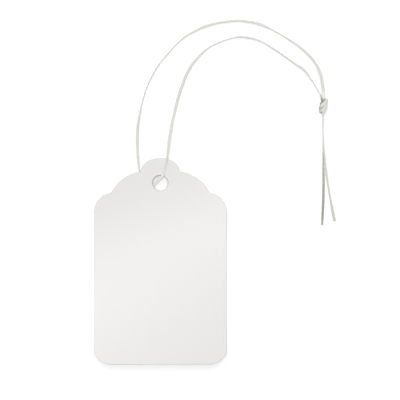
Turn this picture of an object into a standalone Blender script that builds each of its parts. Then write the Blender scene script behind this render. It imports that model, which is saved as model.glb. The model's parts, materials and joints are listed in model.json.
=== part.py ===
"""A strung price tag lying on a table: a die-cut card with a punched hole, and one length of string.

The string goes through the hole, and its two legs are tied together with one overhand knot, which
leaves two short tails. The leg behind the card lies on the table, so the card leans on it.
The origin is on the table under the middle of the card; +Y runs up the card to its tab, +Z is up.
"""

import math

import bmesh
import bpy
from mathutils import Vector

MM = 0.001

# The card: white ticket board, cut by a die with a scalloped head
CARD_WIDTH = 45.0 * MM
CARD_LENGTH = 70.0 * MM
CARD_THICKNESS = 0.4 * MM
TAB_HALF_WIDTH = 6.9 * MM  # from the middle to the notch beside the tab
TAB_HEIGHT = 4.6 * MM  # from those notches up to the top of the tab
SHOULDER_RADIUS = 13.25 * MM
SHOULDER_INSET = 5.7 * MM  # from the side edge in to the outer notch
SHOULDER_DROP = 12.0 * MM  # from the top of the tab down to the outer notch
CORNER_RADIUS = 6.2 * MM
FOOT_RADIUS = 6.7 * MM
FOOT_RISE = 3.8 * MM  # height at which a foot corner's arc meets the side edge
HOLE_DIAMETER = 5.5 * MM
HOLE_DROP = 8.5 * MM  # from the top of the tab down to the hole's centre
ARC_STEP = math.radians(5.0)
HOLE_SIDES = 48

# The string: thin cream cotton, limp, cut square at both ends
STRING_DIAMETER = 0.9 * MM
STRING_GAP = 0.3 * MM  # kept between the string and whatever it lies on or meets
STRING_BEVEL_STEPS = 2
LONGEST_STEP = 5.5 * MM  # between two rings of a straight stretch
BEND_STEP = math.radians(17.0)  # between two rings of a bend
KNOT_BEND_STEP = math.radians(24.0)
CURVE_STEPS = 24  # samples between two points of a route, before the rings are chosen
FRONT_BEARING = math.radians(72.0)  # where the string comes over the hole's rim, from +X
BACK_BEARING = math.radians(205.0)  # where it goes under the rim
KNOT_SQUEEZE = 0.94  # strands drawn tight in the knot lie this much of a diameter apart

# Places on the string's route, in millimetres from the hole's centre, to the right and up the card.
# The third number says how much of the climb onto the card's face is left: 1 over the tab, 0 on the table.
FRONT_LEG = [
    (1.55, 5.7, 1.0),
    (2.3, 8.8, 1.0),
    (2.7, 11.7, 0.93),
    (3.0, 14.6, 0.7),
    (3.87, 19.7, 0.25),
    (5.03, 24.7, 0.03),
    (6.0, 28.6, 0.0),
    (7.15, 32.5, 0.0),
    (9.7, 38.6, 0.0),
    (13.4, 43.5, 0.0),
    (16.5, 46.0, 0.0),
    (20.1, 47.8, 0.0),
    (23.7, 49.0, 0.0),
    (27.5, 49.6, 0.0),
    (33.1, 48.55, 0.0),
    (38.95, 45.25, 0.0),
    (45.9, 40.4, 0.05),
    (48.8, 38.4, 0.15),
    (51.7, 34.3, 0.4),
]
BACK_TURN = [(-3.6, -1.8), (-5.0, -1.4), (-6.0, 0.3), (-6.7, 2.3), (-7.0, 4.2)]
BACK_LEG = [
    (-7.55, 7.6, 0.0),
    (-7.77, 11.1, 0.0),
    (-7.84, 14.6, 0.0),
    (-7.57, 19.7, 0.0),
    (-6.77, 24.7, 0.0),
    (-4.88, 31.8, 0.0),
    (-1.57, 38.65, 0.0),
    (2.35, 43.75, 0.0),
    (7.95, 49.35, 0.0),
    (14.43, 52.95, 0.0),
    (20.1, 54.5, 0.0),
    (26.1, 55.13, 0.0),
    (29.6, 54.84, 0.0),
    (33.1, 54.2, 0.0),
    (36.45, 52.85, 0.0),
    (39.6, 51.1, 0.0),
    (43.7, 48.7, 0.0),
    (47.6, 46.1, 0.0),
    (50.85, 42.95, 0.05),
    (52.9, 40.2, 0.12),
    (54.32, 37.2, 0.25),
    (55.02, 33.7, 0.45),
]
KNOT_CENTRE = (55.4, 26.1)
# The third number of a left tail's place is how much of its drop from the knot is left.
LEFT_TAIL = [
    (55.12, 20.6, 0.65),
    (55.15, 16.6, 0.15),
    (55.25, 11.2, 0.0),
    (55.33, 6.4, 0.0),
    (55.37, 1.0, 0.0),
    (55.42, -4.4, 0.0),
    (55.22, -9.9, 0.0),
    (55.05, -14.3, 0.0),
]
RIGHT_TAIL = [
    (55.12, 20.6),
    (55.15, 16.6),
    (55.35, 11.2),
    (55.6, 8.8),
    (56.0, 6.4),
    (56.32, 3.7),
    (56.65, 1.0),
    (57.57, -4.4),
    (58.58, -9.9),
    (59.25, -12.9),
]

# The overhand knot, tied in both legs at once. Places are in strand spacings from the knot's middle:
# to the right, along the string towards the legs, and up from the table.
LEFT_STRAND = [
    (-1.55, 5.2, -0.1),
    (-1.0, 4.0, -0.2),
    (-0.75, 3.0, -0.4),
    (-0.55, 2.1, -0.65),
    (-0.35, 0.6, -0.5),
    (-0.4, -0.8, -0.6),
    (-0.9, -1.5, -0.75),
    (-1.4, -1.3, -0.1),
    (-1.3, -0.35, 0.8),
    (-0.7, 0.55, 1.3),
    (0.0, 1.28, 1.35),
    (0.8, 1.8, 1.15),
    (1.45, 1.95, 0.55),
    (1.6, 1.9, -0.25),
    (1.15, 1.8, -1.1),
    (0.0, 1.5, -1.4),
    (-1.0, 1.0, -1.15),
    (-1.3, 0.6, -0.35),
    (-0.9, 0.1, 0.35),
    (0.0, -0.1, 0.45),
    (0.75, -0.25, 0.4),
    (1.02, -0.75, 0.6),
    (0.75, -1.35, 0.8),
    (0.35, -1.95, 0.9),
    (0.08, -2.55, 0.85),
    (-0.1, -3.6, 0.75),
]
RIGHT_STRAND = [
    (0.0, 5.2, 0.3),
    (0.0, 4.2, 0.95),
    (-0.05, 3.4, 1.25),
    (-0.05, 2.85, 0.75),
    (0.0, 2.45, -0.2),
    (0.2, 1.7, -0.5),
    (0.35, 0.6, -0.45),
    (0.3, -1.0, -0.65),
    (0.0, -2.2, -0.85),
    (-0.7, -2.85, -0.5),
    (-1.25, -2.7, 0.2),
    (-1.0, -2.2, 0.75),
    (-0.45, -1.6, 1.05),
    (0.2, -0.9, 1.2),
    (0.85, -0.1, 1.15),
    (1.35, 0.4, 0.6),
    (1.47, 0.5, -0.2),
    (1.1, 0.4, -1.1),
    (0.15, -0.1, -1.45),
    (-0.95, -0.5, -1.2),
    (-1.28, -0.72, -0.5),
    (-0.8, -0.9, 0.25),
    (-0.45, -1.7, 0.5),
    (-0.4, -2.3, 0.2),
    (-0.25, -2.9, -0.35),
    (-0.1, -3.6, -0.6),
]
KNOT_HEART = (1.15, 1.75, 1.15)  # half sizes of the packed middle, in strand spacings

# What follows from those sizes
STRING_RADIUS = STRING_DIAMETER / 2
KNOT_SPACING = KNOT_SQUEEZE * STRING_DIAMETER
HOLE_RADIUS = HOLE_DIAMETER / 2
HOLE_HEIGHT = CARD_LENGTH - HOLE_DROP  # from the foot of the card up to the hole
TURN_DROP = -MM * min(y for _, y in BACK_TURN)
PROPPED_LENGTH = HOLE_HEIGHT - TURN_DROP - STRING_RADIUS  # from the foot up to the string behind the card
LEAN = math.atan2(STRING_DIAMETER + STRING_GAP, PROPPED_LENGTH)
FOOT_Y = -CARD_LENGTH / 2 * math.cos(LEAN)
HOLE_Y = FOOT_Y + HOLE_HEIGHT * math.cos(LEAN)

for old in list(bpy.data.objects):
    bpy.data.objects.remove(old)


def finish(name, colour, roughness):
    material = bpy.data.materials.new(name)
    material.use_nodes = True
    shader = material.node_tree.nodes["Principled BSDF"]
    shader.inputs["Base Color"].default_value = (*colour, 1.0)
    shader.inputs["Roughness"].default_value = roughness
    shader.inputs["Metallic"].default_value = 0.0
    return material


def add_object(name, data, material=None):
    thing = bpy.data.objects.new(name, data)
    bpy.context.collection.objects.link(thing)
    if material:
        data.materials.append(material)
    return thing


def hide_helper(thing):
    thing.hide_render = True
    thing.display_type = "WIRE"


def arc(centre, radius, start, end):
    """Points along an arc, both ends included, from one angle to another."""
    count = max(2, math.ceil(abs(end - start) / ARC_STEP))
    angles = [start + (end - start) * i / count for i in range(count + 1)]
    return [Vector((centre[0] + radius * math.cos(a), centre[1] + radius * math.sin(a))) for a in angles]


def arc_between(first, last, radius):
    """An arc of this radius from one point to another, bulging to the right of that way."""
    chord = last - first
    inward = Vector((-chord.y, chord.x)).normalized()
    centre = (first + last) / 2 + inward * math.sqrt(radius**2 - (chord.length / 2) ** 2)
    start = math.atan2(first.y - centre.y, first.x - centre.x)
    end = math.atan2(last.y - centre.y, last.x - centre.x)
    return arc(centre, radius, start, end)


def card_halves():
    """The right half of the card's outline, below and above the line where the side edge ends.

    Heights are measured from the foot, and points run round the card anticlockwise.
    """
    side = CARD_WIDTH / 2
    foot_reach = math.sqrt(FOOT_RADIUS**2 - (FOOT_RADIUS - FOOT_RISE) ** 2)
    foot_centre = Vector((side - foot_reach, FOOT_RADIUS))
    foot_end = math.atan2(FOOT_RISE - FOOT_RADIUS, foot_reach)
    outer_notch = Vector((side - SHOULDER_INSET, CARD_LENGTH - SHOULDER_DROP))
    tab_notch = Vector((TAB_HALF_WIDTH, CARD_LENGTH - TAB_HEIGHT))
    corner_reach = CORNER_RADIUS - SHOULDER_INSET
    corner_rise = math.sqrt(CORNER_RADIUS**2 - corner_reach**2)
    corner_centre = Vector((side - CORNER_RADIUS, outer_notch.y - corner_rise))
    tab_radius = (TAB_HALF_WIDTH**2 + TAB_HEIGHT**2) / (2 * TAB_HEIGHT)
    tab_centre = Vector((0.0, CARD_LENGTH - tab_radius))
    tab_start = math.atan2(tab_notch.y - tab_centre.y, tab_notch.x)
    panel = arc(foot_centre, FOOT_RADIUS, -math.pi / 2, foot_end)
    panel.append(Vector((side, corner_centre.y)))
    head = arc(corner_centre, CORNER_RADIUS, 0.0, math.atan2(corner_rise, corner_reach))
    head += arc_between(outer_notch, tab_notch, SHOULDER_RADIUS)[1:]
    head += arc(tab_centre, tab_radius, tab_start, math.pi / 2)[1:]
    return panel, head


def whole(half):
    """A half outline and its mirror image, without doubling a point on the middle line."""
    mirrored = [Vector((-p.x, p.y)) for p in reversed(half) if p.x > MM * 1e-4]
    return half + mirrored


def make_card(material):
    """The writing panel and the scalloped head share the line across the card where its sides end."""
    panel, head = card_halves()
    shape = bmesh.new()
    corners = {}

    def corner(point):
        key = (round(point.x / MM, 4), round(point.y / MM, 4))
        if key not in corners:
            corners[key] = shape.verts.new((point.x, point.y, 0.0))
        return corners[key]

    sheets = [shape.faces.new([corner(p) for p in whole(half)]) for half in (panel, head)]
    raised = bmesh.ops.extrude_face_region(shape, geom=sheets, use_keep_orig=True)
    top = [part for part in raised["geom"] if isinstance(part, bmesh.types.BMVert)]
    bmesh.ops.translate(shape, verts=top, vec=(0.0, 0.0, CARD_THICKNESS))
    bmesh.ops.recalc_face_normals(shape, faces=shape.faces)
    mesh = bpy.data.meshes.new("tag_card")
    shape.to_mesh(mesh)
    shape.free()
    card = add_object("tag_card", mesh, material)
    card.location = (0.0, FOOT_Y, 0.0)
    card.rotation_euler = (LEAN, 0.0, 0.0)
    punch = make_punch()
    punch.parent = card
    cut = card.modifiers.new("punched hole", "BOOLEAN")
    cut.operation = "DIFFERENCE"
    cut.object = punch
    return card


def make_punch():
    """The round punch that makes the hole, longer than the card is thick."""
    shape = bmesh.new()
    bmesh.ops.create_cone(
        shape,
        cap_ends=True,
        segments=HOLE_SIDES,
        radius1=HOLE_RADIUS,
        radius2=HOLE_RADIUS,
        depth=CARD_THICKNESS * 3,
    )
    mesh = bpy.data.meshes.new("hole_punch")
    shape.to_mesh(mesh)
    shape.free()
    punch = add_object("hole_punch", mesh)
    punch.location = (0.0, HOLE_HEIGHT, CARD_THICKNESS / 2)
    hide_helper(punch)
    return punch


def smooth(points):
    """A smooth curve through the points, as many closely spaced places."""
    ends = [2 * points[0] - points[1]] + points + [2 * points[-1] - points[-2]]
    places = []
    for before, here, there, after in zip(ends, ends[1:], ends[2:], ends[3:]):
        reach = (there - here).length
        leaving = (there - before) * reach / ((here - before).length + reach)
        arriving = (after - here) * reach / ((after - there).length + reach)
        for i in range(CURVE_STEPS):
            t = i / CURVE_STEPS
            places.append(
                (2 * t**3 - 3 * t**2 + 1) * here
                + (t**3 - 2 * t**2 + t) * leaving
                + (3 * t**2 - 2 * t**3) * there
                + (t**3 - t**2) * arriving
            )
    return places + [points[-1]]


def rings(places, bend_step):
    """Every place where the curve has bent by bend_step or run on by LONGEST_STEP, and both ends."""
    chosen = [places[0]]
    run = 0.0
    bend = 0.0
    for before, here, after in zip(places, places[1:], places[2:]):
        run += (here - before).length
        bend += (here - before).angle(after - here)
        if run >= LONGEST_STEP or bend >= bend_step:
            chosen.append(here)
            run = 0.0
            bend = 0.0
    if (places[-1] - chosen[-1]).length < STRING_RADIUS and len(chosen) > 1:
        chosen.pop()
    return chosen + [places[-1]]


def make_tube(name, places, bend_step, material):
    curve = bpy.data.curves.new(name, "CURVE")
    curve.dimensions = "3D"
    curve.bevel_depth = STRING_RADIUS
    curve.bevel_resolution = STRING_BEVEL_STEPS
    curve.use_fill_caps = True
    stops = rings(places, bend_step)
    spline = curve.splines.new("POLY")
    spline.points.add(len(stops) - 1)
    for point, stop in zip(spline.points, stops):
        point.co = (*stop, 1.0)
    return add_object(name, curve, material)


def over_card(y):
    """Height of a string's middle where it lies over the card's face, y up the card from the hole."""
    face = (HOLE_HEIGHT * math.cos(LEAN) + y) * math.tan(LEAN) + CARD_THICKNESS / math.cos(LEAN)
    return face + STRING_GAP + STRING_RADIUS


def on_route(x, y, climb):
    x *= MM
    y *= MM
    return Vector((x, y, STRING_RADIUS + climb * (over_card(y) - STRING_RADIUS)))


def on_rim(bearing, climb):
    return on_route(HOLE_RADIUS / MM * math.cos(bearing), HOLE_RADIUS / MM * math.sin(bearing), climb)


def in_knot(place):
    """The knot rests on the table, so its lowest strand sets how high its middle is."""
    lowest = min(up for _, _, up in LEFT_STRAND + RIGHT_STRAND)
    middle = Vector((KNOT_CENTRE[0] * MM, KNOT_CENTRE[1] * MM, STRING_RADIUS - lowest * KNOT_SPACING))
    return middle + KNOT_SPACING * Vector(place)


def lead_out(strand_end, strand_next):
    """A stretch that meets the knot starts a gap away from the knot's cut face, square to it."""
    end = in_knot(strand_end)
    outward = (end - in_knot(strand_next)).normalized()
    return [end + outward * STRING_GAP, end + outward * (STRING_GAP + STRING_DIAMETER)]


def above_table(places):
    """A smooth curve can dip between two places that lie on the table. The string can't."""
    return [Vector((p.x, p.y, max(p.z, STRING_RADIUS))) for p in places]


def split_at(places, where):
    """The curve in two, with the usual gap around the place nearest to where."""
    nearest = min(range(len(places)), key=lambda i: (places[i] - where).length)
    first = [p for p in places[:nearest] if (p - places[nearest]).length >= STRING_GAP / 2]
    second = [p for p in places[nearest:] if (p - places[nearest]).length >= STRING_GAP / 2]
    return first, second


def make_legs(pivot, material):
    """The loop runs from the knot down over the tab, through the hole and back behind the card."""
    front = [on_route(*place) for place in reversed(FRONT_LEG)]
    back = [on_route(*place, 0.0) for place in BACK_TURN] + [on_route(*place) for place in BACK_LEG]
    over_rim = on_rim(FRONT_BEARING, 1.0)
    under_rim = on_rim(BACK_BEARING, 0.0)
    loop = lead_out(LEFT_STRAND[0], LEFT_STRAND[1]) + front
    loop += [over_rim, (over_rim + under_rim) / 2, under_rim] + back
    loop += reversed(lead_out(RIGHT_STRAND[0], RIGHT_STRAND[1]))
    legs = split_at(above_table(smooth(loop)), on_route(*BACK_TURN[-2], 0.0))
    for name, places in zip(("string_front_leg", "string_back_leg"), legs):
        make_tube(name, places, BEND_STEP, material).parent = pivot


def left_tail_at(y, route):
    """The left tail's place beside this y."""
    above, below = next(pair for pair in zip(route, route[1:]) if pair[1].y <= y)
    return above.lerp(below, (above.y - y) / (above.y - below.y))


def make_tails(pivot, material):
    """The left tail falls to the table. The right one lies on it until it slides off to the right."""
    left = lead_out(RIGHT_STRAND[-1], RIGHT_STRAND[-2])
    start_height = left[-1].z - STRING_RADIUS
    for x, y, drop in LEFT_TAIL:
        left.append(Vector((x * MM, y * MM, STRING_RADIUS + drop * start_height)))
    spacing = STRING_DIAMETER + STRING_GAP
    right = lead_out(LEFT_STRAND[-1], LEFT_STRAND[-2])
    for x, y in RIGHT_TAIL:
        under = left_tail_at(y * MM, left)
        rise = math.sqrt(max(0.0, spacing**2 - (x * MM - under.x) ** 2))
        right.append(Vector((x * MM, y * MM, under.z + rise)))
    for name, route in (("string_tail_left", left), ("string_tail_right", right)):
        make_tube(name, above_table(smooth(route)), BEND_STEP, material).parent = pivot


def make_knot(pivot, material):
    """Both strands of the overhand knot, drawn tight on a packed heart, as one solid."""
    shape = bmesh.new()
    bmesh.ops.create_icosphere(shape, subdivisions=3, radius=KNOT_SPACING)
    bmesh.ops.scale(shape, vec=KNOT_HEART, verts=shape.verts)
    bmesh.ops.translate(shape, vec=in_knot((0.0, 0.0, 0.0)), verts=shape.verts)
    mesh = bpy.data.meshes.new("string_knot")
    shape.to_mesh(mesh)
    shape.free()
    knot = add_object("string_knot", mesh, material)
    knot.parent = pivot
    for name, strand in (("knot_left_strand", LEFT_STRAND), ("knot_right_strand", RIGHT_STRAND)):
        curve = make_tube(name + "_curve", smooth([in_knot(place) for place in strand]), KNOT_BEND_STEP, None)
        tube = add_object(name, bpy.data.meshes.new_from_object(curve))
        bpy.data.objects.remove(curve)
        close_tube(tube.data)
        tube.parent = pivot
        hide_helper(tube)
        join = knot.modifiers.new(name, "BOOLEAN")
        join.operation = "UNION"
        join.use_self = True
        join.object = tube


def close_tube(mesh):
    """Joins a tube's end caps to its wall, with its faces pointing out."""
    shape = bmesh.new()
    shape.from_mesh(mesh)
    bmesh.ops.remove_doubles(shape, verts=shape.verts, dist=MM * 1e-3)
    bmesh.ops.recalc_face_normals(shape, faces=shape.faces)
    shape.to_mesh(mesh)
    shape.free()


board = finish("white ticket board", (0.83, 0.82, 0.81), 0.55)
cotton = finish("cream cotton string", (0.73, 0.73, 0.66), 0.9)
make_card(board)
string_pivot = add_object("string_pivot", None)
string_pivot.location = (0.0, HOLE_Y, 0.0)
make_legs(string_pivot, cotton)
make_tails(string_pivot, cotton)
make_knot(string_pivot, cotton)
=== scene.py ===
"""A strung price tag on a white table, seen from straight above: its surfaces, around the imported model."""

import json
import math

import bpy
import numpy as np
from mathutils import Matrix, Vector


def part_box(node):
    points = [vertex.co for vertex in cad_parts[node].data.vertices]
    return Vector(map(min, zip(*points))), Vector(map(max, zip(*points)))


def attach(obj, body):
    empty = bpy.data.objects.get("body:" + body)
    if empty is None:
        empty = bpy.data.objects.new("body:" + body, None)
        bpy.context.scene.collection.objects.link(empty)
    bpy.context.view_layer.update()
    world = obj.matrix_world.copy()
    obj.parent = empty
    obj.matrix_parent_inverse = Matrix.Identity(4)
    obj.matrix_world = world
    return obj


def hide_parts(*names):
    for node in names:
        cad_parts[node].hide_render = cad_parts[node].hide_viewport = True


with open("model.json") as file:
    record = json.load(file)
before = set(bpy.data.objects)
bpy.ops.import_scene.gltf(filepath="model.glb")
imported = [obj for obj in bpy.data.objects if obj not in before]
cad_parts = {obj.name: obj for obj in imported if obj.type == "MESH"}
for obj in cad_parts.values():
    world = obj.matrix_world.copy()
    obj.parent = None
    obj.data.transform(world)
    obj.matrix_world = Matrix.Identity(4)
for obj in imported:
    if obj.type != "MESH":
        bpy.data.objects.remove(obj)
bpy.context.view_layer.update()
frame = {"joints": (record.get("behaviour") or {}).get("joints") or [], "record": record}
MM = 0.001

# The card
# One sheet of white ticket board, stamped out by a die with a scalloped head and punched for the string.
# The die rounds the edges of the cut a little, and the punch leaves a skewed slope round the hole. The
# head leans on the string behind it, and the foot curls up a little from the table.
BOARD_THICKNESS = 0.4 * MM
TAB_HALF_WIDTH = 6.65 * MM
TAB_HEIGHT = 4.65 * MM
TAB_TOP_RADIUS = 8.6 * MM
TAB_BEND = math.radians(30.0)
SHOULDER_RADIUS = 13.25 * MM
SHOULDER_INSET = 5.7 * MM
SHOULDER_DROP = 12.0 * MM
CORNER_RADIUS = 6.2 * MM
FOOT_RADIUS = 6.7 * MM
FOOT_RISE = 3.8 * MM
HOLE_RADIUS = 2.56 * MM
CUT_ROUNDING = 0.12 * MM
PUNCH_ROUNDING = 0.22 * MM
PUNCH_PROFILE = 0.3
PUNCH_SKEW = Vector((0.08, -0.14, 0.0)) * MM
FOOT_CURL = 2.5 * MM
CURL_LENGTH = 36.0 * MM
CARD_SETTLE = 1.0 * MM
ARC_STEP = math.radians(2.5)
ROW_STEP = 2.5 * MM
WELD_DISTANCE = 0.01 * MM
CUT_ANGLE = math.radians(60.0)
SMOOTH_ANGLE = math.radians(40.0)
FLAT_ALIGNMENT = 0.9
BOARD_WHITE = (0.836, 0.838, 0.824, 1.0)
BOARD_SHADE = (0.816, 0.818, 0.804, 1.0)
# The cut edges' colours are darker than bare board: partly the board's own core, partly painted shade.
EDGE_AND_SHADE_LIGHT = (0.66, 0.648, 0.645, 1.0)
EDGE_AND_SHADE_DARK = (0.5, 0.488, 0.485, 1.0)

writing_face = next(mount for mount in frame["record"]["mounts"] if mount["name"] == "writing_face")
lean = math.atan2(-writing_face["axis"][1], writing_face["axis"][2])
hole_middle = Vector(frame["joints"][0]["pos_m"])
card_low, card_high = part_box("tag_card")
card_side = (card_high.x - card_low.x) / 2
foot_y = card_low.y + BOARD_THICKNESS * math.sin(lean)
card_length = (card_high.y - foot_y) / math.cos(lean)
hole_height = (hole_middle.y - foot_y) / math.cos(lean)


def line_to(end, pen):
    """Draws a straight edge from the pen's place and returns the new place."""
    bpy.ops.mesh.extrude_region_move(TRANSFORM_OT_translate={"value": end - pen})
    return end


def arc_to(end, centre, pen):
    """Draws an arc round a centre from the pen's place, the short way, and returns the new place."""
    sweep = (pen - centre).to_2d().angle_signed((end - centre).to_2d())
    steps = math.ceil(abs(sweep) / ARC_STEP)
    bpy.ops.mesh.spin(steps=steps, angle=sweep, center=centre, axis=(0.0, 0.0, 1.0))
    return end


foot_reach = math.sqrt(FOOT_RADIUS**2 - (FOOT_RADIUS - FOOT_RISE) ** 2)
outer_notch = Vector((card_side - SHOULDER_INSET, card_length - SHOULDER_DROP, 0.0))
tab_notch = Vector((TAB_HALF_WIDTH, card_length - TAB_HEIGHT, 0.0))
corner_rise = math.sqrt(CORNER_RADIUS**2 - (CORNER_RADIUS - SHOULDER_INSET) ** 2)
corner_centre = Vector((card_side - CORNER_RADIUS, outer_notch.y - corner_rise, 0.0))
chord = tab_notch - outer_notch
shoulder_sink = math.sqrt(SHOULDER_RADIUS**2 - (chord.length / 2) ** 2)
shoulder_way = Vector((-chord.y, chord.x, 0.0)).normalized()
shoulder_centre = (outer_notch + tab_notch) / 2 + shoulder_sink * shoulder_way
tab_top = Vector((0.0, card_length, 0.0))
tab_centre = tab_top - Vector((0.0, TAB_TOP_RADIUS, 0.0))
tab_way = Vector((math.sin(TAB_BEND), math.cos(TAB_BEND), 0.0))
tab_bend = tab_centre + TAB_TOP_RADIUS * tab_way
tab_side = tab_bend - tab_notch
tab_side_centre = tab_bend - tab_side.length_squared / (2 * tab_side.dot(tab_way)) * tab_way
hole_centre = Vector((0.0, hole_height, 0.0))

# The right half of the outline is drawn as one line, from the middle of the foot round to the hole.
bpy.ops.object.select_all(action="DESELECT")
bpy.ops.mesh.primitive_plane_add(size=card_side)
card = bpy.context.object
card.name = "card"
bpy.ops.object.mode_set(mode="EDIT")
bpy.ops.mesh.merge(type="CENTER")
pen = Vector((0.0, 0.0, 0.0))
pen = line_to(Vector((card_side - foot_reach, 0.0, 0.0)), pen)
pen = arc_to(Vector((card_side, FOOT_RISE, 0.0)), Vector((card_side - foot_reach, FOOT_RADIUS, 0.0)), pen)
pen = line_to(Vector((card_side, corner_centre.y, 0.0)), pen)
pen = arc_to(outer_notch, corner_centre, pen)
pen = arc_to(tab_notch, shoulder_centre, pen)
pen = arc_to(tab_bend, tab_side_centre, pen)
pen = arc_to(tab_top, tab_centre, pen)
pen = line_to(hole_centre + Vector((0.0, HOLE_RADIUS, 0.0)), pen)
pen = arc_to(hole_centre + Vector((HOLE_RADIUS, 0.0, 0.0)), hole_centre, pen)
pen = arc_to(hole_centre - Vector((0.0, HOLE_RADIUS, 0.0)), hole_centre, pen)
bpy.ops.mesh.select_all(action="SELECT")
bpy.ops.mesh.edge_face_add()
bpy.ops.object.mode_set(mode="OBJECT")
other_half = card.modifiers.new("other half", "MIRROR")
other_half.merge_threshold = WELD_DISTANCE
bpy.ops.object.modifier_apply(modifier=other_half.name)
bpy.ops.object.mode_set(mode="EDIT")
bpy.ops.mesh.select_all(action="SELECT")
bpy.ops.mesh.normals_make_consistent(inside=False)
bpy.ops.object.mode_set(mode="OBJECT")
if card.data.polygons[0].normal.z < 0:
    card.data.flip_normals()

# The flat shape becomes a sheet, the punch slopes the hole's upper edge, and the die rounds every edge.
sheet = card.modifiers.new("sheet", "SOLIDIFY")
sheet.thickness = BOARD_THICKNESS
sheet.offset = 1.0
bpy.ops.object.modifier_apply(modifier=sheet.name)
bpy.ops.object.mode_set(mode="EDIT")
bpy.ops.mesh.select_mode(type="VERT")
bpy.ops.mesh.select_all(action="DESELECT")
bpy.ops.object.mode_set(mode="OBJECT")
for vertex in card.data.vertices:
    from_hole = (vertex.co - hole_centre).to_2d().length
    vertex.select = from_hole < HOLE_RADIUS + CUT_ROUNDING and vertex.co.z > BOARD_THICKNESS / 2
bpy.ops.object.mode_set(mode="EDIT")
bpy.ops.mesh.bevel(offset=PUNCH_ROUNDING, segments=4, profile=PUNCH_PROFILE, affect="EDGES")
bpy.ops.object.mode_set(mode="OBJECT")
for vertex in card.data.vertices:
    if (vertex.co - hole_centre).to_2d().length < HOLE_RADIUS + 2 * PUNCH_ROUNDING:
        vertex.co += PUNCH_SKEW * (1.0 - vertex.co.z / BOARD_THICKNESS)
rounding = card.modifiers.new("die rounding", "BEVEL")
rounding.width = CUT_ROUNDING
rounding.segments = 3
rounding.limit_method = "ANGLE"
rounding.angle_limit = CUT_ANGLE
rounding.use_clamp_overlap = False
bpy.ops.object.modifier_apply(modifier=rounding.name)

# Cuts across the sheet let it bend: the foot curls up, and the sheet settles towards the table.
bpy.ops.object.mode_set(mode="EDIT")
for row in range(1, math.ceil(card_length / ROW_STEP)):
    bpy.ops.mesh.select_all(action="SELECT")
    bpy.ops.mesh.bisect(plane_co=(0.0, row * ROW_STEP, 0.0), plane_no=(0.0, 1.0, 0.0))
bpy.ops.object.mode_set(mode="OBJECT")
for vertex in card.data.vertices:
    towards_foot = max(0.0, 1.0 - vertex.co.y / CURL_LENGTH)
    vertex.co.z += FOOT_CURL * towards_foot**2 - CARD_SETTLE * (1.0 - vertex.co.y / hole_height)
card.data.transform(Matrix.Translation((0.0, foot_y, 0.0)) @ Matrix.Rotation(lean, 4, "X"))
bpy.ops.object.shade_smooth_by_angle(angle=SMOOTH_ANGLE)
flat_faces = card.modifiers.new("flat faces", "WEIGHTED_NORMAL")
bpy.ops.object.modifier_apply(modifier=flat_faces.name)


def new_material(name):
    """An empty material, its node tree and its shader."""
    material = bpy.data.materials.new(name)
    material.use_nodes = True
    return material, material.node_tree, material.node_tree.nodes["Principled BSDF"]


def paper_fibre():
    """Pressed paper fibre: long fine hairs, and the cloudy look of pulp held up to the light."""
    group = bpy.data.node_groups.new("paper fibre", "ShaderNodeTree")
    group.interface.new_socket("Fibre", in_out="OUTPUT", socket_type="NodeSocketFloat")
    group.interface.new_socket("Cloud", in_out="OUTPUT", socket_type="NodeSocketFloat")
    place = group.nodes.new("ShaderNodeTexCoord")
    grain = group.nodes.new("ShaderNodeMapping")
    grain.inputs["Scale"].default_value = (1.0, 0.3, 1.0)
    fibre = group.nodes.new("ShaderNodeTexNoise")
    fibre.inputs["Scale"].default_value = 5000.0
    fibre.inputs["Detail"].default_value = 3.0
    cloud = group.nodes.new("ShaderNodeTexNoise")
    cloud.inputs["Scale"].default_value = 260.0
    cloud.inputs["Detail"].default_value = 4.0
    result = group.nodes.new("NodeGroupOutput")
    group.links.new(place.outputs["Object"], grain.inputs["Vector"])
    group.links.new(grain.outputs["Vector"], fibre.inputs["Vector"])
    group.links.new(place.outputs["Object"], cloud.inputs["Vector"])
    group.links.new(fibre.outputs["Fac"], result.inputs["Fibre"])
    group.links.new(cloud.outputs["Fac"], result.inputs["Cloud"])
    return group


fibre_group = paper_fibre()


def board_material(name, white, shade, fibre_share, roughness, bump_strength):
    """Ticket board: white stock with clouds and fibres a touch darker."""
    material, tree, shader = new_material(name)
    fibre = tree.nodes.new("ShaderNodeGroup")
    fibre.node_tree = fibre_group
    patches = tree.nodes.new("ShaderNodeMix")
    patches.data_type = "FLOAT"
    patches.inputs["Factor"].default_value = fibre_share
    tint = tree.nodes.new("ShaderNodeMix")
    tint.data_type = "RGBA"
    tint.inputs["A"].default_value = white
    tint.inputs["B"].default_value = shade
    gloss = tree.nodes.new("ShaderNodeMapRange")
    gloss.inputs["To Min"].default_value = roughness - 0.03
    gloss.inputs["To Max"].default_value = roughness + 0.03
    relief = tree.nodes.new("ShaderNodeBump")
    relief.inputs["Strength"].default_value = bump_strength
    relief.inputs["Distance"].default_value = 0.01 * MM
    tree.links.new(fibre.outputs["Cloud"], patches.inputs["A"])
    tree.links.new(fibre.outputs["Fibre"], patches.inputs["B"])
    tree.links.new(patches.outputs["Result"], tint.inputs["Factor"])
    tree.links.new(tint.outputs["Result"], shader.inputs["Base Color"])
    tree.links.new(fibre.outputs["Fibre"], gloss.inputs["Value"])
    tree.links.new(gloss.outputs["Result"], shader.inputs["Roughness"])
    tree.links.new(fibre.outputs["Fibre"], relief.inputs["Height"])
    tree.links.new(relief.outputs["Normal"], shader.inputs["Normal"])
    return material


ticket_board = board_material(
    "white ticket board", BOARD_WHITE, BOARD_SHADE, fibre_share=0.4, roughness=0.5, bump_strength=0.06
)
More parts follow.
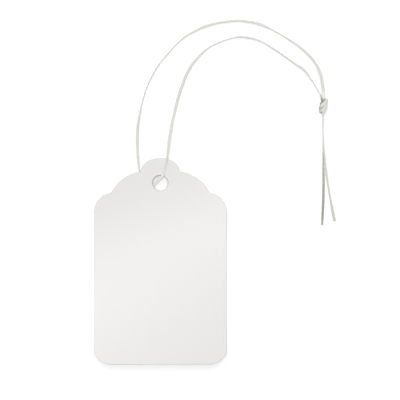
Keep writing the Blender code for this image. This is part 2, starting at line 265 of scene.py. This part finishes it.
# The die-cut and punched edges are painted darker: partly their real fibrous core, partly painted shade for
# the dark lines along the edges and round the hole.
edge_and_painted_shade = board_material(
    "cut board edge and painted shade", EDGE_AND_SHADE_LIGHT, EDGE_AND_SHADE_DARK, fibre_share=0.8, roughness=0.75, bump_strength=0.8
)
card.data.materials.append(ticket_board)
card.data.materials.append(edge_and_painted_shade)
sheet_normal = Vector(writing_face["axis"])
# Faces off the flat sides take that darker edge colour, which is partly painted shade.
for face in card.data.polygons:
    if abs(face.normal.dot(sheet_normal)) < FLAT_ALIGNMENT:
        face.material_index = 1
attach(card, "card")
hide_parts("tag_card")

# The string
# One length of soft cream cotton thread, spun of two plies that lie side by side, so it is a flat thread. It
# goes through the hole with its ends level. Both legs are tied in one overhand knot, which leaves two tails.
PLY_HALF_WIDTH = 0.285 * MM
PLY_HALF_THICKNESS = 0.185 * MM
PLY_OFFSET = 0.245 * MM
EDGE_SINK = 0.5
PLY_POINTS = 18
RING_STEP = 0.15 * MM
CURVE_STEPS = 40
YARN_RIDGES = 3
YARN_TWIST = 1.9 * MM
RIDGE_HEIGHT = 0.025 * MM
KNOT_SPACING = 0.846 * MM
KNOT_CENTRE = (55.4, 26.1)
KNOT_SPREAD = 0.06
KNOT_PRESSED = 0.75
KNOT_SIDE_TURN = 0.7
KNOT_FOOT_TURN = 0.6
KNOT_FOOT = -1.8
THREAD_CREAM = (0.9, 0.897, 0.838, 1.0)
THREAD_SHADE = (0.8, 0.797, 0.735, 1.0)
GREY_AND_SHADE_COLOUR = (0.4, 0.398, 0.355, 1.0)
# How much the thread is greyed where its stop gives no greying of its own.
DEFAULT_GREYING = 0.15

# Places on the route, in millimetres from the hole's centre, to the right and up the card. The third number
# says how far up the climb from the table to the card's face the thread is, and the fourth how many degrees
# it is turned on edge. Where there are more, the fifth spreads the thread and the sixth greys it.
BEHIND_CARD = [
    (-6.7, 2.3, 0.0, -90),
    (-6.0, 0.3, 0.0, -90),
    (-5.0, -1.4, 0.0, -90),
    (-3.6, -1.8, 0.2, -60),
]
# Where the thread crosses the hole's rim, with a bearing in degrees in place of the first two numbers.
UNDER_RIM = (199.0, 0.5, -10)
OVER_RIM = (72.0, 1.0, -5)
FRONT_LEG = [
    (1.68, 5.7, 1.0, -5, 0.8, 0.1),
    (2.41, 8.79, 1.0, -47),
    (2.77, 11.7, 0.93, -31),
    (3.09, 14.59, 0.7, -23),
    (3.88, 19.69, 0.25, -19),
    (5.01, 24.7, 0.03, -13),
    (6.0, 28.6, 0.0, 0),
    (7.2, 32.49, 0.0, 0),
    (9.72, 38.59, 0.0, -17),
    (13.44, 43.47, 0.0, -36),
    (16.5, 46.0, 0.0, -75),
    (20.09, 47.85, 0.0, -90),
    (23.7, 49.09, 0.0, -90, 0.95),
    (27.5, 49.71, 0.0, -38),
    (33.12, 48.62, 0.0, -60),
    (39.0, 45.32, 0.0, -53),
    (45.95, 40.48, 0.05, -38),
    (48.89, 38.47, 0.15, -28),
    (51.74, 34.33, 0.4, -75),
]
BACK_LEG = [
    (-6.7, 2.3, 0.0, -90),
    (-7.12, 4.2, 0.0, -64),
    (-7.53, 7.6, 0.0, -24),
    (-7.74, 11.1, 0.0, -31),
    (-7.82, 14.6, 0.0, -5),
    (-7.57, 19.7, 0.0, -12),
    (-6.75, 24.69, 0.0, -50),
    (-4.86, 31.79, 0.0, -77),
    (-1.55, 38.63, 0.0, -68),
    (2.34, 43.76, 0.0, -80),
    (7.95, 49.38, 0.0, -69),
    (14.41, 52.99, 0.0, -28),
    (20.11, 54.56, 0.0, -37),
    (26.1, 55.22, 0.0, -36),
    (29.59, 54.92, 0.0, -24),
    (33.1, 54.25, 0.0, -21),
    (36.51, 52.98, 0.0, -37),
    (38.05, 52.1, 0.0, -90),
    (39.68, 51.22, 0.0, -90),
    (43.76, 48.79, 0.0, -48),
    (47.61, 46.11, 0.0, -29),
    (50.92, 43.02, 0.05, -14),
    (53.02, 40.27, 0.12, -30),
    (54.36, 37.21, 0.25, 0, 1.05),
    (55.02, 33.71, 0.45, -19),
]
# The tails, with the clearance under the thread, in millimetres, as the third number. The right tail lies on
# the left one at first.
LEFT_TAIL = [
    (55.32, 22.8, 0.2, -90, 0.7, 0.0),
    (55.25, 20.6, 0.1, -90, 1.0, 0.1),
    (55.28, 16.6, 0.05, -90, 0.95, 0.0),
    (55.32, 11.2, 0.0, -75, 1.0, 0.3),
    (55.38, 6.4, 0.0, -55, 1.0, 0.7),
    (55.5, 1.0, 0.0, -28, 1.0, 0.78),
    (55.45, -4.4, 0.0, -26, 1.0, 0.9),
    (55.22, -9.9, 0.0, -30, 1.0, 1.0),
    (55.03, -14.3, 0.0, -40, 1.0, 0.75),
]
RIGHT_TAIL = [
    (55.32, 22.8, 0.9, -90, 0.7, 0.0),
    (55.25, 20.6, 0.75, -90, 1.0, 0.1),
    (55.28, 16.6, 0.7, -90, 0.95, 0.0),
    (55.62, 11.2, 0.62, -108, 1.0, 0.1),
    (56.05, 6.4, 0.15, -130, 1.0, 0.15),
    (56.38, 3.4, 0.05, -148, 1.0, 0.15),
    (56.75, 1.0, 0.0, -142, 1.0, 0.15),
    (57.62, -4.4, 0.0, -137, 1.0, 0.2),
    (58.65, -9.9, 0.0, -160, 1.0, 0.35),
    (59.25, -12.9, 0.0, -174, 0.9, 0.4),
]
# The overhand knot, tied in both legs at once. Places are in strand spacings from the knot's middle: to the
# right, along the string towards the legs, and up. The fourth number is painted shade: it darkens the thread
# where it runs into the knot's creases and under its edges, where shade falls.
LEFT_STRAND = [
    (-1.55, 5.2, -0.1),
    (-0.85, 4.0, -0.2, 0.3),
    (-0.5, 3.0, -0.4, 1.0),
    (-0.25, 2.1, -0.65, 1.0),
    (-0.35, 0.6, -0.5, 1.0),
    (-0.4, -0.8, -0.6, 1.0),
    (-0.95, -1.5, -0.75, 1.0),
    (-1.5, -1.3, -0.1, 1.0),
    (-1.27, -0.55, 0.8, 0.55),
    (-0.4, 0.34, 1.3),
    (0.33, 1.1, 1.35),
    (1.06, 1.8, 1.15),
    (1.5, 2.18, 0.55),
    (1.6, 2.15, -0.25),
    (1.15, 1.95, -1.1),
    (0.0, 1.5, -1.4, 0.5),
    (-0.35, 1.4, -1.15, 1.0),
    (-0.8, 1.05, -0.6, 1.0),
    (-1.15, 0.52, -0.1, 1.0),
    (-1.1, 0.0, 0.45, 1.0),
    (-0.3, -0.25, 0.5, 0.9),
    (0.6, -0.35, 0.5),
    (0.95, -0.75, 0.6),
    (0.6, -1.35, 0.75),
    (0.25, -1.95, 0.8),
    (0.05, -2.5, 0.75),
]
RIGHT_STRAND = [
    (0.0, 5.2, 0.3),
    (0.0, 4.2, 1.0),
    (0.08, 3.3, 1.4),
    (0.15, 2.8, 1.25, 0.05),
    (0.3, 2.48, 0.55, 0.8),
    (0.36, 2.2, -0.35, 1.0),
    (0.3, 1.5, -0.6, 1.0),
    (0.35, 0.6, -0.45, 1.0),
    (0.3, -1.0, -0.65, 1.0),
    (0.0, -2.0, -0.85, 0.4),
    (-0.75, -2.45, -0.5, 0.2),
    (-1.47, -2.38, 0.2, 0.8),
    (-1.12, -2.05, 0.75, 0.45),
    (-0.45, -1.68, 1.05),
    (0.28, -1.1, 1.2),
    (0.9, -0.25, 1.15),
    (1.36, 0.36, 0.6),
    (1.47, 0.5, -0.2),
    (1.1, 0.4, -1.1),
    (0.15, -0.1, -1.45, 0.5),
    (-0.95, -0.5, -1.2, 1.0),
    (-1.4, -0.75, -0.5, 1.0),
    (-0.85, -0.9, 0.25, 1.0),
    (-0.4, -1.6, 0.5, 0.4),
    (-0.15, -2.3, 0.4),
]


def sunk(turn):
    """How wide the thread is, turned by this angle: on edge, its plies sink together under their weight."""
    return 1.0 - EDGE_SINK * math.sin(turn) ** 2


def half_height(turn, spread):
    """From the thread's middle down to what it lies on, with its flat turned by this angle."""
    across = spread * abs(math.sin(turn))
    upright = abs(math.cos(turn))
    return PLY_OFFSET * across + math.hypot(PLY_HALF_WIDTH * across, PLY_HALF_THICKNESS * upright)


def card_face(y):
    """Height of the card's face, y up the card from the hole."""
    slope = math.tan(lean) + CARD_SETTLE / hole_height
    return hole_height * math.sin(lean) + y * slope + BOARD_THICKNESS / math.cos(lean)


def on_table(x, y, lift, turn, width=1.0, grey_and_shade=DEFAULT_GREYING):
    """A stop of the thread with this clearance between it and the table."""
    turn = math.radians(turn)
    spread = width * sunk(turn)
    return [x * MM, y * MM, half_height(turn, spread) + lift * MM, turn, spread, grey_and_shade]


def on_route(x, y, climb, *laid):
    """A stop of the thread between the table and the card's face, or on either."""
    return on_table(x, y, climb * card_face(y * MM) / MM, *laid)


def on_rim(bearing, climb, turn):
    """A stop on the hole's rim: full-width thread, ungreyed, so painted lighter in the card's shade."""
    bearing = math.radians(bearing)
    way = HOLE_RADIUS / MM * Vector((math.cos(bearing), math.sin(bearing)))
    return on_route(*way, climb, turn, 1.0, 0.0)


def unit(vectors):
    """The same directions, each of length one."""
    return vectors / np.linalg.norm(vectors, axis=-1, keepdims=True)


def lying(stops):
    """Swaps the turn of each stop for the way that the thread's flat faces there."""
    stops = np.array(stops)
    travel = unit(np.gradient(stops[:, :2], axis=0))
    turn = stops[:, 3:4]
    facing = np.hstack([np.sin(turn) * travel[:, 1:2], -np.sin(turn) * travel[:, :1], np.cos(turn)])
    return np.hstack([stops[:, :3], facing, stops[:, 4:]])


knot_lowest = min(stop[2] for stop in LEFT_STRAND + RIGHT_STRAND)
knot_height = PLY_HALF_THICKNESS - knot_lowest * KNOT_PRESSED * KNOT_SPACING
knot_middle = Vector((KNOT_CENTRE[0] * MM, KNOT_CENTRE[1] * MM, knot_height))


def in_knot(x, y, up, grey_and_shade=0.0):
    """A stop in the knot. The thread's flat faces out from the knot's long axis, and it spreads on top."""
    # The last number is painted shade: it darkens the thread in the knot's creases.
    facing = Vector((KNOT_SIDE_TURN * x, KNOT_FOOT_TURN * min(y - KNOT_FOOT, 0.0), up)).normalized()
    spread = 1.0 + KNOT_SPREAD * min(max(up, 0.0), 1.0)
    return [*(knot_middle + KNOT_SPACING * Vector((x, y, KNOT_PRESSED * up))), *facing, spread, grey_and_shade]


def smooth_thread(stops):
    """A smooth curve through the stops: how far along each ring is, then its place, facing, spread, grey."""
    for here, there in zip(stops, stops[1:]):
        if here[3:6] @ there[3:6] < 0:
            there[3:6] *= -1
    ends = np.vstack([2 * stops[0] - stops[1], stops, 2 * stops[-1] - stops[-2]])
    reach = np.linalg.norm(np.diff(ends[:, :3], axis=0), axis=1)
    t = np.linspace(0.0, 1.0, CURVE_STEPS, endpoint=False)[:, None]
    curve = []
    for i in range(1, len(ends) - 2):
        here, there = ends[i : i + 2]
        leaving = (there - ends[i - 1]) * reach[i] / (reach[i - 1] + reach[i])
        arriving = (ends[i + 2] - here) * reach[i] / (reach[i] + reach[i + 1])
        from_here = (2 * t**3 - 3 * t**2 + 1) * here + (t**3 - 2 * t**2 + t) * leaving
        to_there = (3 * t**2 - 2 * t**3) * there + (t**3 - t**2) * arriving
        curve.append(from_here + to_there)
    curve = np.vstack(curve + [stops[-1:]])
    steps = np.linalg.norm(np.diff(curve[:, :3], axis=0), axis=1)
    along = np.concatenate([[0.0], np.cumsum(steps)])
    rings = np.linspace(0.0, along[-1], round(along[-1] / RING_STEP) + 1)
    return rings, np.column_stack([np.interp(rings, along, column) for column in curve.T])


def twist_plies(path, wide, thin, spread, along):
    """Rings of points round two plies side by side, each with the slanting ridges of its yarns."""
    plies_meet = math.acos(-PLY_OFFSET / PLY_HALF_WIDTH)
    round_ply = np.linspace(-plies_meet, plies_meet, PLY_POINTS, endpoint=False)
    ridge = RIDGE_HEIGHT * np.sin(YARN_RIDGES * round_ply + 2 * math.pi * along[:, None] / YARN_TWIST)
    across = spread[:, None] * (PLY_OFFSET + (PLY_HALF_WIDTH + ridge) * np.cos(round_ply))
    up = (PLY_HALF_THICKNESS + ridge) * np.sin(round_ply)
    across = np.hstack([across, -across])[:, :, None]
    up = np.hstack([up, -up])[:, :, None]
    return path[:, None, :] + wide[:, None, :] * across + thin[:, None, :] * up


def tube_mesh(name, points, along):
    """A closed tube through rings of points, with a UV map once round and in millimetres along."""
    rings, sides = points.shape[:2]
    faces = []
    places = []
    for ring in range(rings - 1):
        low = ring * sides
        high = low + sides
        near = along[ring] / MM
        far = along[ring + 1] / MM
        for side in range(sides):
            after = (side + 1) % sides
            faces.append((low + side, high + side, high + after, low + after))
            left = side / sides
            right = (side + 1) / sides
            places += [(left, near), (left, far), (right, far), (right, near)]
    last = (rings - 1) * sides
    faces.append(tuple(range(sides)))
    faces.append(tuple(reversed(range(last, last + sides))))
    places += [(0.0, 0.0)] * (2 * sides)
    mesh = bpy.data.meshes.new(name)
    mesh.from_pydata(points.reshape(-1, 3).tolist(), [], faces)
    mesh.uv_layers.new(name="thread").data.foreach_set("uv", np.array(places).ravel())
    mesh.shade_smooth()
    return mesh


def spin_thread(name, stops, material):
    """One strand of the thread, laid along its stops. Returns it, its path and its length."""
    along, curve = smooth_thread(stops)
    path = curve[:, :3] + np.array(hole_middle * Vector((1.0, 1.0, 0.0)))
    travel = unit(np.gradient(path, axis=0))
    thin = curve[:, 3:6]
    thin = unit(thin - travel * np.sum(thin * travel, axis=1, keepdims=True))
    wide = np.cross(travel, thin)
    spread = curve[:, 6]
    upright = spread * abs(wide[:, 2])
    hang = PLY_OFFSET * upright + np.hypot(PLY_HALF_WIDTH * upright, PLY_HALF_THICKNESS * thin[:, 2])
    path[:, 2] = np.maximum(path[:, 2], hang + RIDGE_HEIGHT)
    mesh = tube_mesh(name, twist_plies(path, wide, thin, spread, along), along)
    # Each ring's greying goes onto the mesh; in the knot's creases it is painted shade.
    grey_and_shade = np.repeat(np.clip(curve[:, 7], 0.0, 1.0), 2 * PLY_POINTS)
    mesh.attributes.new("grey_and_shade", "FLOAT", "POINT").data.foreach_set("value", grey_and_shade)
    mesh.materials.append(material)
    strand = bpy.data.objects.new(name, mesh)
    bpy.context.collection.objects.link(strand)
    return strand, path.tolist(), along[-1]


def cotton_material():
    """Cream cotton with slanting fibres and uneven stretches, greyed by the mesh, as painted shade in the
    knot.
    """
    material, tree, shader = new_material("cream cotton thread")
    shader.inputs["Roughness"].default_value = 0.85
    shader.inputs["Sheen Weight"].default_value = 0.2
    shader.inputs["Sheen Roughness"].default_value = 0.6
    place = tree.nodes.new("ShaderNodeTexCoord")
    slant = tree.nodes.new("ShaderNodeMapping")
    slant.inputs["Rotation"].default_value = (0.0, 0.0, math.radians(20.0))
    slant.inputs["Scale"].default_value = (40.0, 1.2, 1.0)
    fibre = tree.nodes.new("ShaderNodeTexNoise")
    fibre.inputs["Scale"].default_value = 1.0
    fibre.inputs["Detail"].default_value = 3.0
    tint = tree.nodes.new("ShaderNodeMix")
    tint.data_type = "RGBA"
    tint.inputs["A"].default_value = THREAD_SHADE
    tint.inputs["B"].default_value = THREAD_CREAM
    # The mesh's greying, which in the knot's creases is painted shade, darkens the cotton towards a dull
    # tone.
    grey_and_shade = tree.nodes.new("ShaderNodeAttribute")
    grey_and_shade.attribute_name = "grey_and_shade"
    greyed_and_shaded = tree.nodes.new("ShaderNodeMix")
    greyed_and_shaded.data_type = "RGBA"
    greyed_and_shaded.inputs["B"].default_value = GREY_AND_SHADE_COLOUR
    relief = tree.nodes.new("ShaderNodeBump")
    relief.inputs["Strength"].default_value = 0.5
    relief.inputs["Distance"].default_value = 0.02 * MM
    tree.links.new(place.outputs["UV"], slant.inputs["Vector"])
    tree.links.new(slant.outputs["Vector"], fibre.inputs["Vector"])
    tree.links.new(fibre.outputs["Fac"], tint.inputs["Factor"])
    tree.links.new(tint.outputs["Result"], greyed_and_shaded.inputs["A"])
    tree.links.new(grey_and_shade.outputs["Fac"], greyed_and_shaded.inputs["Factor"])
    tree.links.new(greyed_and_shaded.outputs["Result"], shader.inputs["Base Color"])
    tree.links.new(fibre.outputs["Fac"], relief.inputs["Height"])
    tree.links.new(relief.outputs["Normal"], shader.inputs["Normal"])
    return material


over_rim = on_rim(*OVER_RIM)
under_rim = on_rim(*UNDER_RIM)
in_hole = [(a + b) / 2 for a, b in zip(over_rim, under_rim)]
front_leg = [on_route(*stop) for stop in BEHIND_CARD] + [under_rim, in_hole, over_rim]
front_leg += [on_route(*stop) for stop in FRONT_LEG]
back_leg = [on_route(*stop) for stop in BACK_LEG]
left_strand = [in_knot(*stop) for stop in LEFT_STRAND]
right_strand = [in_knot(*stop) for stop in RIGHT_STRAND]
left_tail = [on_table(*stop) for stop in LEFT_TAIL]
right_tail = [on_table(*stop) for stop in RIGHT_TAIL]

cotton = cotton_material()
front_stops = np.vstack([lying(front_leg), left_strand, lying(right_tail)])
back_stops = np.vstack([lying(back_leg), right_strand, lying(left_tail)])
front_nodes = ("string_front_leg", "string_knot", "string_tail_right")
back_nodes = ("string_back_leg", "string_tail_left")
strands = (
    ("string_front_strand", front_stops, front_nodes),
    ("string_back_strand", back_stops, back_nodes),
)
for name, stops, nodes in strands:
    strand, path, length = spin_thread(name, stops, cotton)
    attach(strand, "string")
    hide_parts(*nodes)

# The table
# A plain white table top, smooth and matt, that the tag lies on. It keeps the tag's shadow, and it glows a
# little where it is looked at, so that it is white to the eye.
FLOOR_SIZE = 3.0
FLOOR_WHITE = (0.92, 0.92, 0.92, 1.0)
FLOOR_GLOW = 0.24

bpy.ops.object.select_all(action="DESELECT")
bpy.ops.mesh.primitive_plane_add(size=FLOOR_SIZE)
floor = bpy.context.object
floor.name = "floor"
material, tree, shader = new_material("white table")
shader.inputs["Base Color"].default_value = FLOOR_WHITE
shader.inputs["Roughness"].default_value = 0.9
shader.inputs["Specular IOR Level"].default_value = 0.0
shader.inputs["Emission Color"].default_value = (1.0, 1.0, 1.0, 1.0)


def seen_directly(tree):
    """One for a ray that looks at a surface, straight or by reflection, and none for a ray of light."""
    light_path = tree.nodes.new("ShaderNodeLightPath")
    glossy = tree.nodes.new("ShaderNodeMath")
    glossy.operation = "MAXIMUM"
    clear = tree.nodes.new("ShaderNodeMath")
    clear.operation = "MAXIMUM"
    tree.links.new(light_path.outputs["Is Camera Ray"], glossy.inputs[0])
    tree.links.new(light_path.outputs["Is Glossy Ray"], glossy.inputs[1])
    tree.links.new(glossy.outputs["Value"], clear.inputs[0])
    tree.links.new(light_path.outputs["Is Transmission Ray"], clear.inputs[1])
    return clear.outputs["Value"]


glow = tree.nodes.new("ShaderNodeMath")
glow.operation = "MULTIPLY"
glow.inputs[1].default_value = FLOOR_GLOW
tree.links.new(seen_directly(tree), glow.inputs[0])
tree.links.new(glow.outputs["Value"], shader.inputs["Emission Strength"])
floor.data.materials.append(material)

# The light
# A soft lamp beyond the card's head, a wide one overhead, a strip whose sheen runs across the card, and an
# even fill from all round. The room is white to the eye.
KEY_PLACE = Vector((-0.2, 1.248, 0.988))
KEY_SIZE = 1.6
KEY_POWER = 11.5
OVERHEAD_PLACE = Vector((-0.02, 0.045, 1.2))
OVERHEAD_SIZE = 0.5
OVERHEAD_POWER = 6.95
STRIP_PLACE = Vector((0.0972, 0.0295, 0.06))
STRIP_SIZE = (0.4, 0.012)
STRIP_BEARING = math.radians(18.4)
STRIP_COLOUR = (1.0, 0.86, 0.9)
STRIP_POWER = 0.27
FILL = 0.22

world = bpy.data.worlds.new("white room")
bpy.context.scene.world = world
world.use_nodes = True
background = world.node_tree.nodes["Background"]
background.inputs["Color"].default_value = (1.0, 1.0, 1.0, 1.0)
fill = world.node_tree.nodes.new("ShaderNodeMapRange")
fill.inputs["To Min"].default_value = FILL
fill.inputs["To Max"].default_value = 1.0
world.node_tree.links.new(seen_directly(world.node_tree), fill.inputs["Value"])
world.node_tree.links.new(fill.outputs["Result"], background.inputs["Strength"])

soft_lamps = (
    ("key", KEY_PLACE, KEY_SIZE, KEY_POWER),
    ("overhead", OVERHEAD_PLACE, OVERHEAD_SIZE, OVERHEAD_POWER),
)
for name, place, size, power in soft_lamps:
    bpy.ops.object.light_add(type="AREA", location=place)
    lamp = bpy.context.object
    lamp.name = name
    lamp.data.size = size
    lamp.data.energy = power
    lamp.rotation_euler = (-place).to_track_quat("-Z", "Y").to_euler()
    lamp.visible_glossy = False
bpy.ops.object.light_add(type="AREA", location=STRIP_PLACE, rotation=(0.0, 0.0, STRIP_BEARING))
strip = bpy.context.object
strip.name = "strip"
strip.data.shape = "RECTANGLE"
strip.data.size, strip.data.size_y = STRIP_SIZE
strip.data.color = STRIP_COLOUR
strip.data.energy = STRIP_POWER
strip.visible_camera = False
strip.visible_diffuse = False

# The camera
# A long lens looks straight down, so that the view is almost parallel. The camera stands over a place to the
# right of the card's hole.
VIEW_MIDDLE = Vector((0.0135, 0.0207, 0.001))
VIEW_WIDTH = 0.1358
LENS = 135.0
SENSOR = 36.0

bpy.ops.object.camera_add(location=VIEW_MIDDLE + Vector((0.0, 0.0, VIEW_WIDTH * LENS / SENSOR)))
camera = bpy.context.object
camera.data.lens = LENS
camera.data.sensor_width = SENSOR
bpy.context.scene.camera = camera
bpy.context.scene.view_settings.view_transform = "Standard"
